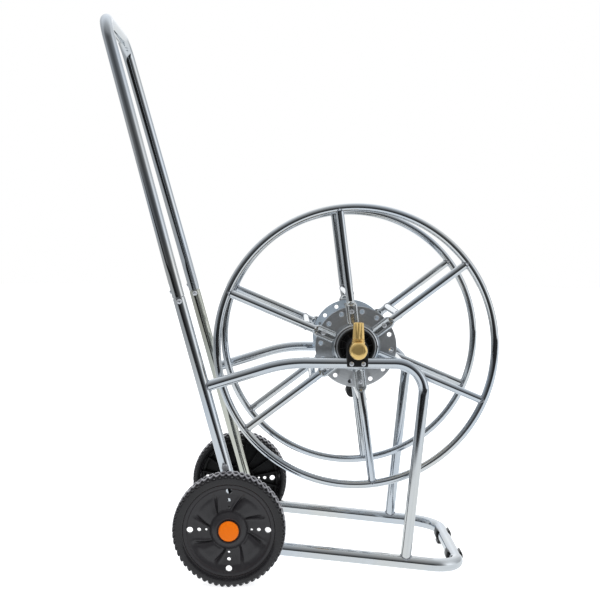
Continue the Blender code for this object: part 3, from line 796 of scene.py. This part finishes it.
def make_foot_clips():
    inner = BASE_R + 0.0002
    outer = BASE_R + 0.0037
    height = base_z(BASE_FRONT_X)
    pad = 0.0125
    outline = [
        *arc((0, 0), outer, 38, -48, 12),
        (pad, 0.002 - height), (pad - 0.002, -height), (0.002 - pad, -height), (-pad, 0.002 - height),
        *arc((0, 0), outer, 228, 142, 12),
        *arc((0, 0), inner, 142, 398, 40),
    ]
    for name, side in SIDES:
        clip = moved(slab([outline], CLIP_WIDTH / 2, 0.0007), turned(90, "X"))
        clip = moved(clip, at(AXLE.x + BASE_FRONT_X, side * CLIP_Y, height))
        place(clip, "foot_pad_" + name, BLACK, "frame", "foot_clip_" + name)


# ---- wheels

LUGS = 56
TREAD_DEPTH = 0.0042


def smoothstep(low, high, value):
    t = min(1.0, max(0.0, (value - low) / (high - low)))
    return t * t * (3 - 2 * t)


def lug_height(turn, y):
    """0 in a groove and 1 on a ridge: two wavy ridges that cross and part, like links of a chain."""
    wave = abs(math.cos(math.pi * turn * LUGS))
    away = abs(abs(y) - 0.0165 * wave)
    return smoothstep(0.0072, 0.0054, away)


def tyre_mesh():
    outer_wall = [(0.0805, 0.0165), (0.081, 0.0178), (0.0832, 0.0193), (0.087, 0.0203)]
    outer_wall += [(0.0915, 0.0208), (0.0938, 0.0208)]
    inner_wall = [(0.0938, -0.0206), (0.0888, -0.0203), (0.0862, -0.0165), (0.083, -0.009)]
    inner_wall += [(0.0806, -0.0018)]
    steps, across = LUGS * 10, 28
    verts, grain = [], []
    for i in range(steps):
        turn = i / steps
        angle = 2 * math.pi * turn
        row = list(outer_wall)
        for k in range(across + 1):
            y = TYRE_HALF - 2 * TYRE_HALF * k / across
            crown = TREAD_R - 0.0012 * abs(y / TYRE_HALF) ** 4
            row.append((crown - TREAD_DEPTH * (1 - lug_height(turn, y)), y))
        row += inner_wall
        for r, y in row:
            verts.append((*polar(r, angle), y))
            grain.append((0, r, y))
    obj = mesh_object(verts, ring_faces(steps, len(row)), grain)
    fix_normals(obj)
    return obj


def profile_at(profile, r):
    for (r0, z0), (r1, z1) in zip(profile, profile[1:]):
        if r0 <= r <= r1:
            t = (r - r0) / (r1 - r0)
            return z0 + (z1 - z0) * t
    return profile[-1][1]


WEB_FRONT = softened([
    (0.0195, 0.0172), (0.0215, 0.0184), (0.0232, 0.0184), (0.03, 0.014), (0.0328, 0.0108),
    (0.0346, 0.008), (0.048, 0.0082), (0.064, 0.0094), (0.0736, 0.0132), (0.0742, 0.0152),
    (0.0752, 0.016), (0.0803, 0.0166),
], 0.0016, False, 4)


def web_height(r, angle):
    """Outer face of the web: a shallow dish whose eight creases swirl into the hub."""
    swirl = 0.22 * min(1.0, max(0.0, (0.064 - r) / 0.03)) ** 1.4
    wave = math.cos(4 * (angle - swirl))
    reach = smoothstep(0.0325, 0.037, r) * smoothstep(0.073, 0.056, r)
    narrow = 0.12 + 0.1 * smoothstep(0.035, 0.07, r)
    crease = math.exp(-((wave / narrow) ** 2))
    lip = math.exp(-(((wave - 0.3) / 0.16) ** 2))
    petal = smoothstep(0.0, -0.9, wave)
    return profile_at(WEB_FRONT, r) + reach * (0.0024 * petal + 0.001 * lip - 0.0034 * crease)


def web_mesh():
    steps = 288
    radii = [WEB_RIM - (WEB_RIM - WEB_BORE) * (k / 58) for k in range(59)]
    back = [
        (0.0195, 0.015), (0.016, 0.015), (0.016, 0.0182), (0.0064, 0.0182), (0.0064, -0.0208),
        (0.0138, -0.0208), (0.014, 0.0036), (0.03, 0.0032), (0.042, 0.0028), (0.064, 0.003),
        (0.0765, 0.006), (0.0773, -0.0018), (0.0803, -0.0018),
    ]
    verts = []
    for i in range(steps):
        angle = 2 * math.pi * i / steps
        row = [(r, web_height(r, angle)) for r in radii] + back
        verts += [(*polar(r, angle), z) for r, z in row]
    web = mesh_object(verts, ring_faces(steps, len(row)))
    fix_normals(web)
    web = carved(web, hole_pins(0.0))
    turned_grain(web.data)
    return web


def hole_pins(spare):
    """Cutters for the rows of three holes in each quarter."""
    pins = []
    for quarter in range(4):
        angle = math.radians(90 * quarter + 0.21)
        for reach, radius in ((0.0687, 0.0055), (0.0525, 0.0034), (0.04, 0.0022)):
            r = radius + spare
            pin = lathe([(0, 0.03), (r, 0.03), (r, -0.01), (0, -0.01)], 28, 0.0)
            pins.append(moved(pin, at(*polar(reach, angle), 0.0)))
    return pins


def shell_mesh():
    """The black inner side of the wheel, with its ribs and the band round the hub."""
    face = [
        (0.0142, 0.0028), (0.03, 0.0024), (0.042, 0.002), (0.064, 0.0022), (0.0762, 0.0052),
        (0.0768, -0.0024), (0.0808, -0.0028), (0.0834, -0.0098), (0.0866, -0.0173), (0.089, -0.021),
        (0.0918, -0.0213),
    ]
    shell = stack(face + [(r, z + 0.0005) for r, z in reversed(face)], 120, True)
    parts = [carved(shell, hole_pins(0.0004))]
    for k in range(16):
        rib = box_mesh((0.0138, -0.0008, -0.01), (0.0812, 0.0008, 0.006))
        parts.append(moved(rib, turned(11.25 + 22.5 * k, "Z")))
    band = [(0.029, 0.0055), (0.029, -0.012), (0.0304, -0.012), (0.0304, 0.0055)]
    parts.append(stack(band, 96, True))
    shell = merged(parts)
    turned_grain(shell.data)
    return shell


def make_wheels():
    tyre, web, shell = tyre_mesh(), web_mesh(), shell_mesh()
    cap = lathe([
        (0, 0.0249), (0.009, 0.0247), (0.015, 0.0238), (0.0174, 0.0222), (0.0178, 0.0208),
        (0.0178, 0.0188), (0.0155, 0.0188), (0.015, 0.0216), (0, 0.0216),
    ], 72, 0.001)
    for name, side in SIDES:
        body = "wheel_" + name
        hub = at(AXLE.x, side * WHEEL_Y, AXLE.z) @ facing(side)
        place(copied(tyre, hub), "tyre_" + name, TYRE, body, "wheel_tyre_" + name, sharp=50)
        place(copied(web, hub), "wheel_web_" + name, WHEEL, body, "wheel_disc_" + name, sharp=50)
        place(copied(shell, hub), "wheel_inner_" + name, SHELL, body)
        place(copied(cap, hub), "hub_cap_" + name, ORANGE, body, "wheel_cap_" + name)
    for obj in (tyre, web, shell, cap):
        drop(obj)

    end = WHEEL_Y + 0.0213
    stop_out = WHEEL_Y - 0.0215
    stop_in = stop_out - 0.0055
    half = [(AXLE_R, end), (AXLE_R, stop_out), (0.009, stop_out), (0.009, stop_in), (AXLE_R, stop_in)]
    axle = lathe([(0, end), *half, *[(r, -z) for r, z in reversed(half)], (0, -end)], 40)
    place(moved(axle, outward(1, AXLE)), "axle_rod", FASTENER, "frame", "wheel_axle")


# ---- reel


def spoke_section(k, sides):
    """One point of a spoke's outline, as (across, deep) for the pressed end and for the round tube."""
    angle = 2 * math.pi * k / sides
    half_turn = angle / math.pi
    even = 1 - 2 * half_turn if half_turn <= 1 else 2 * half_turn - 3
    u = 0.55 * even + 0.45 * math.cos(angle)
    edge = math.sqrt(max(0.0, 1 - abs(u) ** 7))
    if half_turn <= 1:
        deep = edge * (0.0012 + 0.0019 * math.exp(-(((abs(u) - 0.7) / 0.27) ** 2)))
    else:
        deep = -0.0013 * edge
    return (0.0111 * u, deep), polar(ROD_R, angle)


def spoke_mesh():
    """A tube along +X, its inner end pressed into a shallow channel that opens towards +Y."""
    sides = 56
    stations = [0.0425, 0.043, 0.044, 0.046, 0.055, 0.065, 0.073, 0.0755, 0.0765, 0.0775, 0.0785, 0.0795]
    stations += [0.0805, 0.0815, 0.0825, 0.0835, 0.0845, 0.13, 0.18, RING_R - ROD_R + 0.0012]
    verts, faces, grain = [], [], []
    for x in stations:
        share = smoothstep(PRESS_START, PRESS_END, x)
        nose = 1 - 0.25 * smoothstep(0.0445, 0.0425, x)
        for k in range(sides):
            (flat_across, flat_deep), (across, deep) = spoke_section(k, sides)
            z = flat_across * nose * (1 - share) + across * share
            y = flat_deep * (1 - share) + deep * share
            verts.append((x, y, z))
            grain.append((x, y, z))
    for i in range(len(stations) - 1):
        for k in range(sides):
            j = (k + 1) % sides
            faces.append((i * sides + k, i * sides + j, (i + 1) * sides + j, (i + 1) * sides + k))
    faces.append(tuple(range(sides)))
    faces.append(tuple(range((len(stations) - 1) * sides, len(stations) * sides)))
    obj = mesh_object(verts, faces, grain)
    fix_normals(obj)
    return obj


def hub_point(radius, angle, y):
    """The place at radius and angle round the reel's axis."""
    across, up = polar(radius, angle)
    return HUB.x + across, y, HUB.z + up


def make_reel():
    spoke = spoke_mesh()
    for name, side in SIDES:
        y = side * FLANGE_Y
        ring_points = [hub_point(RING_R, 2 * math.pi * k / 160, y) for k in range(160)]
        place(sweep(ring_points, ROD_R, 28, True), "reel_ring_" + name, ZINC, "reel", "ring_" + name)
        beads = []
        for number in range(SPOKES):
            angle = SPOKE_PHASE + 2 * math.pi * number / SPOKES
            turn = at(HUB.x, y, HUB.z) @ Matrix.Rotation(-angle, 4, "Y")
            piece = copied(spoke, turn @ Matrix.Scale(side, 4, (0, 1, 0)))
            label = f"spoke_{name}_{number + 1}"
            place(piece, "reel_" + label, ZINC_SPOKE, "reel", label)
            out = Vector((math.cos(angle), 0, math.sin(angle)))
            along_ring = Vector((-out.z, 0, out.x))
            rim = HUB + out * RING_R + Vector((0, y, 0))
            beads.append(weld_bead(rim, -out, along_ring, ROD_R, ROD_R, 0.0011, number))
            bar = HUB + out * BAR_CIRCLE + Vector((0, y, 0))
            beads.append(weld_bead(bar, (0, -side, 0), out, ROD_R, ROD_R, 0.001, number + 9))
            bolt = socket_screw(0.0046, 0.0026, 0.0026, 0.003, 0.0, 0.0012)
            bolt = moved(bolt, at(0, side * (FLANGE_Y - 0.0003), 0) @ hole_place(side, angle))
            place(bolt, f"spoke_bolt_{name}_{number + 1}", FASTENER, "reel")
        place(merged(beads), "reel_welds_" + name, WELD, "reel")
    drop(spoke)

    for number in range(SPOKES):
        angle = SPOKE_PHASE + 2 * math.pi * number / SPOKES
        reach = FLANGE_Y - 0.004
        bar = sweep([hub_point(BAR_CIRCLE, angle, y) for y in (-reach, 0, reach)], ROD_R - 0.0001, 28)
        place(bar, f"winding_bar_{number + 1}", ZINC, "reel", f"drum_bar_{number + 1}")


def hole_place(side, angle):
    """A frame on the hole circle whose Z points outward."""
    return at(*hub_point(HOLE_CIRCLE, angle, 0)) @ facing(side)


LIP = [(0.004, 0.0002), (0.0046, 0.0004), (0.0051, 0.0), (0.0044, -0.0004)]


def make_flange_discs():
    outer = FLANGE_Y - 0.0016
    inner = outer - 0.002
    profile = [
        (0.0336, outer + 0.0108), (0.0352, outer + 0.0112), (0.0366, outer + 0.01),
        (0.042, outer + 0.0012), (0.0446, outer), (DISC_R, outer), (DISC_R, inner), (0.0428, inner),
        (0.04, inner + 0.0014), (0.0336, outer + 0.0084),
    ]
    for name, side in SIDES:
        disc = lathe(profile, 120, 0.0007)
        cutters = []
        for number in range(SPOKES):
            for offset, radius in ((-HOLE_OFFSET, 0.004), (0.0, 0.0032), (HOLE_OFFSET, 0.004)):
                angle = 2 * math.pi * number / SPOKES + offset + 0.004
                pin = lathe([(0, 0.14), (radius, 0.14), (radius, 0.11), (0, 0.11)], 28, 0.0)
                cutters.append(moved(pin, at(*polar(HOLE_CIRCLE, angle), 0)))
        disc = carved(disc, cutters)
        lips = []
        for number in range(SPOKES):
            for offset in (-HOLE_OFFSET, HOLE_OFFSET):
                angle = 2 * math.pi * number / SPOKES + offset + 0.004
                lip = lathe(LIP, 28, 0.0002)
                lips.append(moved(lip, at(*polar(HOLE_CIRCLE, angle), outer)))
        turned_grain(disc.data)
        turn = outward(side, HUB, SPOKE_PHASE)
        # The far plate takes the paler copy of the flange steel: painted light.
        look = FLANGE if side < 0 else FLANGE_FAR_PAINTED_LIGHT
        place(moved(disc, turn), "flange_plate_" + name, look, "reel", "flange_disc_" + name)
        place(moved(merged(lips), turn), "flange_hole_lips_" + name, FASTENER, "reel")
        collar = lathe([
            (0.0362, outer + 0.01), (0.0372, outer + 0.0106), (0.0388, outer + 0.0104),
            (0.0403, outer + 0.0094), (0.0416, outer + 0.0074), (0.0424, outer + 0.0048),
            (0.0429, outer + 0.0024), (0.0446, outer + 0.0002), (0.044, outer - 0.0006),
            (0.0362, outer + 0.008),
        ], 120, 0.0005)
        place(moved(collar, turn), "flange_collar_" + name, ZINC, "reel")


def make_bushes():
    for name, side, inner_end in (("near", -1, 0.074), ("far", 1, 0.1)):
        profile = [
            (0.0085, 0.14), (0.016, 0.14), (0.019, 0.1375), (0.019, 0.1285), (0.0225, 0.1285),
            (0.0232, 0.1305), (0.024, 0.1285), (0.0295, 0.127), (0.03, 0.1362), (0.0331, 0.1362),
            (0.0331, 0.1216), (0.0379, 0.1216), (0.0379, 0.1176), (0.021, 0.1176),
            (0.021, inner_end), (0.0085, inner_end),
        ]
        bush = lathe(profile, 72, 0.0007)
        parts = [bush]
        for k in range(12):
            rib = box_mesh((0.0188, -0.0007, 0.127), (0.0298, 0.0007, 0.1335))
            parts.append(moved(rib, turned(30 * k + 7, "Z")))
        if side < 0:
            end = lathe([(0, 0.0705), (0.0205, 0.0705), (0.0209, 0.0745), (0, 0.0745)], 72)
            socket = lathe([(0.0082, 0.0), (0.0125, 0.0), (0.0125, 0.0214), (0.0082, 0.0214)], 48)
            socket = moved(socket, at(0, 0, OUTLET_Y) @ turned(90, "Y"))
            parts += [end, socket]
        bush = merged(parts)
        turned_grain(bush.data)
        place(moved(bush, outward(side, HUB)), "hub_barrel_" + name, BLACK, "reel", "hub_bush_" + name)


def make_outlet():
    outlet = lathe([
        (0.0052, 0.066), (0.009, 0.066), (0.0103, 0.0622), (0.0094, 0.0604), (0.0094, 0.059),
        (0.0103, 0.055), (0.0094, 0.053), (0.0094, 0.033), (0.011, 0.032), (0.011, 0.0215),
        (0.008, 0.0215), (0.008, 0.0105), (0.0052, 0.0105),
    ], 48, 0.0005)
    flats = hexagon(0.0244)
    nut = stack([(0.01, 0.0318), (flats, 0.031), (flats, 0.0226), (0.01, 0.0218)], 48)
    outlet = merged([outlet, nut])
    turn = at(REEL.x, -OUTLET_Y, REEL.z) @ turned(90, "Y")
    place(moved(outlet, turn), "hose_tail_outlet", BRASS, "reel", "hose_outlet")


def make_crank():
    shaft = stack([
        (0, 0.1966), (0.004, 0.1966), (0.007, 0.196), (hexagon(0.018), 0.1945),
        (hexagon(0.0186), 0.1938), (hexagon(0.0186), 0.1912), (0.006, 0.1908), (0.006, 0.1864),
        (0.0106, 0.1862), (0.011, 0.1856), (0.011, 0.1822), (0.0106, 0.1816), (0.008, 0.1816),
        (0.008, 0.0997), (0.0125, 0.0997), (0.0125, 0.0962), (0, 0.0962),
    ], 60)
    place(moved(shaft, outward(1, HUB)), "crank_spindle", CRANK, "reel", "crank_shaft")

    half = 0.011
    outline = arc((0, 0), half, 90, 270, 30) + arc((CRANK_LENGTH, 0), half, -90, 90, 30)
    holes = [circle(0.0062, 40), circle(0.0042, 32, (CRANK_LENGTH, 0))]
    arm = moved(slab([outline, *holes], 0.002, 0.0005), turned(90, "X"))
    bead = softened([(0.018, -0.0032), (0.107, -0.0032), (0.107, 0.0032), (0.018, 0.0032)], 0.0032)
    bead = moved(slab([bead], 0.0004, 0.0003), at(0, 0.0023, 0) @ turned(90, "X"))
    arm = merged([arm, bead])
    plain_grain(arm.data)
    turn = at(HUB.x, CRANK_ARM_Y, HUB.z) @ Matrix.Rotation(-CRANK_ANGLE, 4, "Y")
    place(moved(arm, turn), "crank_lever", BLACK, "reel", "crank_arm")

    hand = Vector(hub_point(CRANK_LENGTH, CRANK_ANGLE, 0))
    end = OVERALL_HALF
    pin = lathe([
        (0, end - 0.0002), (0.0046, end - 0.0005), (0.0069, end - 0.0018), (0.0069, end - 0.0031),
        (0.004, end - 0.0031), (0.004, 0.1863), (0.0069, 0.1863), (0.006, 0.1842), (0, 0.1842),
    ], 40, 0.0004)
    place(moved(pin, outward(1, hand)), "knob_bolt", BLACK, "reel", "crank_knob_pin")

    outer, inner = end - 0.0036, 0.1923
    knob = lathe([
        (0.0043, outer - 0.001), (0.0075, outer - 0.0006), (0.0092, outer - 0.0002),
        (0.0113, outer - 0.003), (0.0118, outer - 0.008), (0.0114, outer - 0.015),
        (0.0104, outer - 0.025), (0.0102, outer - 0.031), (0.0108, inner + 0.005),
        (0.0104, inner + 0.002), (0.0092, inner), (0.0043, inner),
    ], 56, 0.0012)
    place(moved(knob, outward(1, hand)), "knob_grip", BLACK, "knob", "crank_knob")


def make_inlet():
    body = lathe([
        (0, 0.216), (0.007, 0.2158), (0.0118, 0.215), (0.0148, 0.2128), (0.0161, 0.209),
        (0.0161, 0.19), (0.0148, 0.1845), (0.0136, 0.1817), (0.008, 0.1817), (0.008, 0.1132),
        (0, 0.1132),
    ], 72, 0.0012)
    body = moved(body, turned(90, "X"))

    def flats(radius):
        """Soft flutes round the hose tail."""

        def size(angle):
            return radius * (1 - 0.12 * (0.5 + 0.5 * math.cos(TAIL_FLUTES * angle)))

        return size

    tail = stack([
        (0.0066, 0.02), (0.0066, 0.0486), (0.0074, 0.0492), (0.0088, 0.0492), (0.0094, 0.0484),
        (flats(0.0095), 0.047), (flats(0.0108), 0.0215), (0.011, 0.0208), (0.0103, 0.0202),
        (0.0103, 0.0194), (0.0113, 0.0188), (0.0114, 0.0176), (0.0106, 0.017), (0.0106, 0.0162),
        (0.0117, 0.0156), (0.0121, 0.006), (0.0066, 0.006),
    ], 72, True)
    tail = moved(tail, at(0, -ELBOW_Y, 0))
    elbow = merged([body, tail])
    place(moved(elbow, at(HUB.x, 0, HUB.z)), "brass_elbow", BRASS, "inlet", "inlet_elbow")


# ---- stage


def make_camera():
    yaw, pitch, roll = 0.0086, -0.0502, 0.0081
    forward = Vector((math.sin(yaw) * math.cos(pitch), math.cos(yaw) * math.cos(pitch), math.sin(pitch)))
    right = Vector((math.cos(yaw), -math.sin(yaw), 0))
    up = right.cross(forward)
    right, up = (
        right * math.cos(roll) + up * math.sin(roll),
        up * math.cos(roll) - right * math.sin(roll),
    )
    camera = bpy.data.objects.new("camera", bpy.data.cameras.new("camera"))
    camera.data.sensor_width = 36
    camera.data.lens = LENS_MM
    matrix = Matrix((right, up, -forward)).transposed().to_4x4()
    matrix.translation = (AXLE.x + 0.1045, -2.1994, 0.6041)
    camera.matrix_world = matrix
    SCENE.collection.objects.link(camera)
    SCENE.camera = camera


def soft_box(name, location, size, radiance):
    """A soft light aimed at the cart that no polished surface mirrors."""
    light = bpy.data.lights.new(name, "AREA")
    light.shape = "RECTANGLE"
    light.size, light.size_y = size
    light.energy = radiance * math.pi * size[0] * size[1]
    lamp = bpy.data.objects.new(name, light)
    lamp.location = location
    lamp.rotation_euler = (LIGHT_TARGET - Vector(location)).to_track_quat("-Z", "Y").to_euler()
    lamp.visible_camera = False
    lamp.visible_glossy = False
    SCENE.collection.objects.link(lamp)


# Brightness of the room round the cart, by heading: 0 is the front, positive towards +X.
ROOM = (
    (-180, 1.15), (-158, 0.85), (-140, 0.52), (-110, 0.5), (-84, 0.5), (-66, 0.22), (-45, 0.14),
    (-15, 0.07), (16, 0.07), (32, 0.13), (44, 0.26), (56, 0.72), (66, 1.25), (80, 1.25), (94, 1.00),
    (110, 0.66), (126, 0.6), (144, 0.7), (160, 0.95), (180, 1.15),
)


FLOOR = {
    "Base Color": (0.86, 0.87, 0.88, 1),
    "Roughness": 0.9,
    "Specular IOR Level": 0.1,
    "Emission Color": (1.0, 1.0, 1.0, 1),
    "Emission Strength": 0.72,
}


def make_floor():
    bpy.ops.mesh.primitive_circle_add(vertices=96, radius=14, fill_type="NGON", location=(0, 0, -0.0004))
    floor = bpy.context.object
    floor.name = "studio_floor"
    mat = bpy.data.materials.new("pale_floor")
    mat.use_nodes = True
    tree = Nodes(mat.node_tree)
    seen = tree.nodes["Principled BSDF"]
    for key, value in FLOOR.items():
        seen.inputs[key].default_value = value

    # The lit sweep ends a little way in front of the cart, so polished tubes have a dark line above it.
    x, y, _ = tree.split(tree.source("ShaderNodeTexCoord", "Object"))
    glow = tree.maths("MULTIPLY", tree.ramp(y, -1.9, -1.2, 0.03, 0.98), tree.ramp(x, -1.6, -0.5, 0.5, 1.0))
    sweep_light = tree.add("ShaderNodeEmission", (0.95, 0.98, 1.0, 1), glow)
    camera_ray = tree.source("ShaderNodeLightPath", "Is Camera Ray")
    mixed = tree.add("ShaderNodeMixShader", camera_ray, sweep_light, seen.outputs[0])
    tree.links.new(mixed, tree.nodes["Material Output"].inputs[0])
    floor.data.materials.append(mat)


def make_room():
    world = bpy.data.worlds.new("studio")
    SCENE.world = world
    world.use_nodes = True
    world.node_tree.nodes.clear()
    tree = Nodes(world.node_tree)
    x, y, z = tree.split(tree.source("ShaderNodeTexCoord", "Generated"))
    heading = tree.maths("ARCTAN2", x, tree.maths("MULTIPLY", y, -1.0))
    turn = tree.spread(heading, -math.pi, math.pi)

    ramp = tree.nodes.new("ShaderNodeValToRGB")
    ramp.color_ramp.interpolation = "EASE"
    stops = ramp.color_ramp.elements
    while len(stops) < len(ROOM):
        stops.new(0.5)
    for stop, (degrees, value) in zip(stops, ROOM):
        stop.position = (degrees + 180) / 360
        stop.color = (value / 2, value / 2, value / 2, 1)
    tree.links.new(turn, ramp.inputs[0])
    around = tree.maths("MULTIPLY", ramp.outputs[0], 2.0)

    # Overhead the room is an even soft grey that brightens towards the back.
    overhead = tree.ramp(y, -0.6, 0.7, 0.42, 1.1)
    level = tree.blend(tree.ramp(z, 0.18, 0.92, 0.0, 1.0), around, overhead)
    room = tree.add("ShaderNodeBackground", (0.96, 0.98, 1.0, 1), level)
    seen = tree.add("ShaderNodeBackground", (1, 1, 1, 1))
    camera_ray = tree.source("ShaderNodeLightPath", "Is Camera Ray")
    mixed = tree.add("ShaderNodeMixShader", camera_ray, room, seen)
    tree.links.new(mixed, tree.nodes.new("ShaderNodeOutputWorld").inputs[0])


def make_stage():
    make_floor()
    make_room()
    soft_box("top_box", (0.1, -0.6, 2.6), (1.8, 1.2), 3.0)
    soft_box("front_fill", (-0.5, -3.2, 1.6), (1.6, 1.6), 3.5)
    SCENE.view_settings.view_transform = "Standard"


# ---- making

make_camera()
make_frame_tubes()
make_handle()
make_handle_joints()
make_blocks()
make_foot_clips()
make_wheels()
make_reel()
make_flange_discs()
make_bushes()
make_outlet()
make_crank()
make_inlet()
make_stage()

for node in ("handle_sleeve_near", "handle_sleeve_far", "axle_retainer_near", "axle_retainer_far"):
    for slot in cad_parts[node].material_slots:
        slot.material = FITTING

bpy.context.view_layer.update()
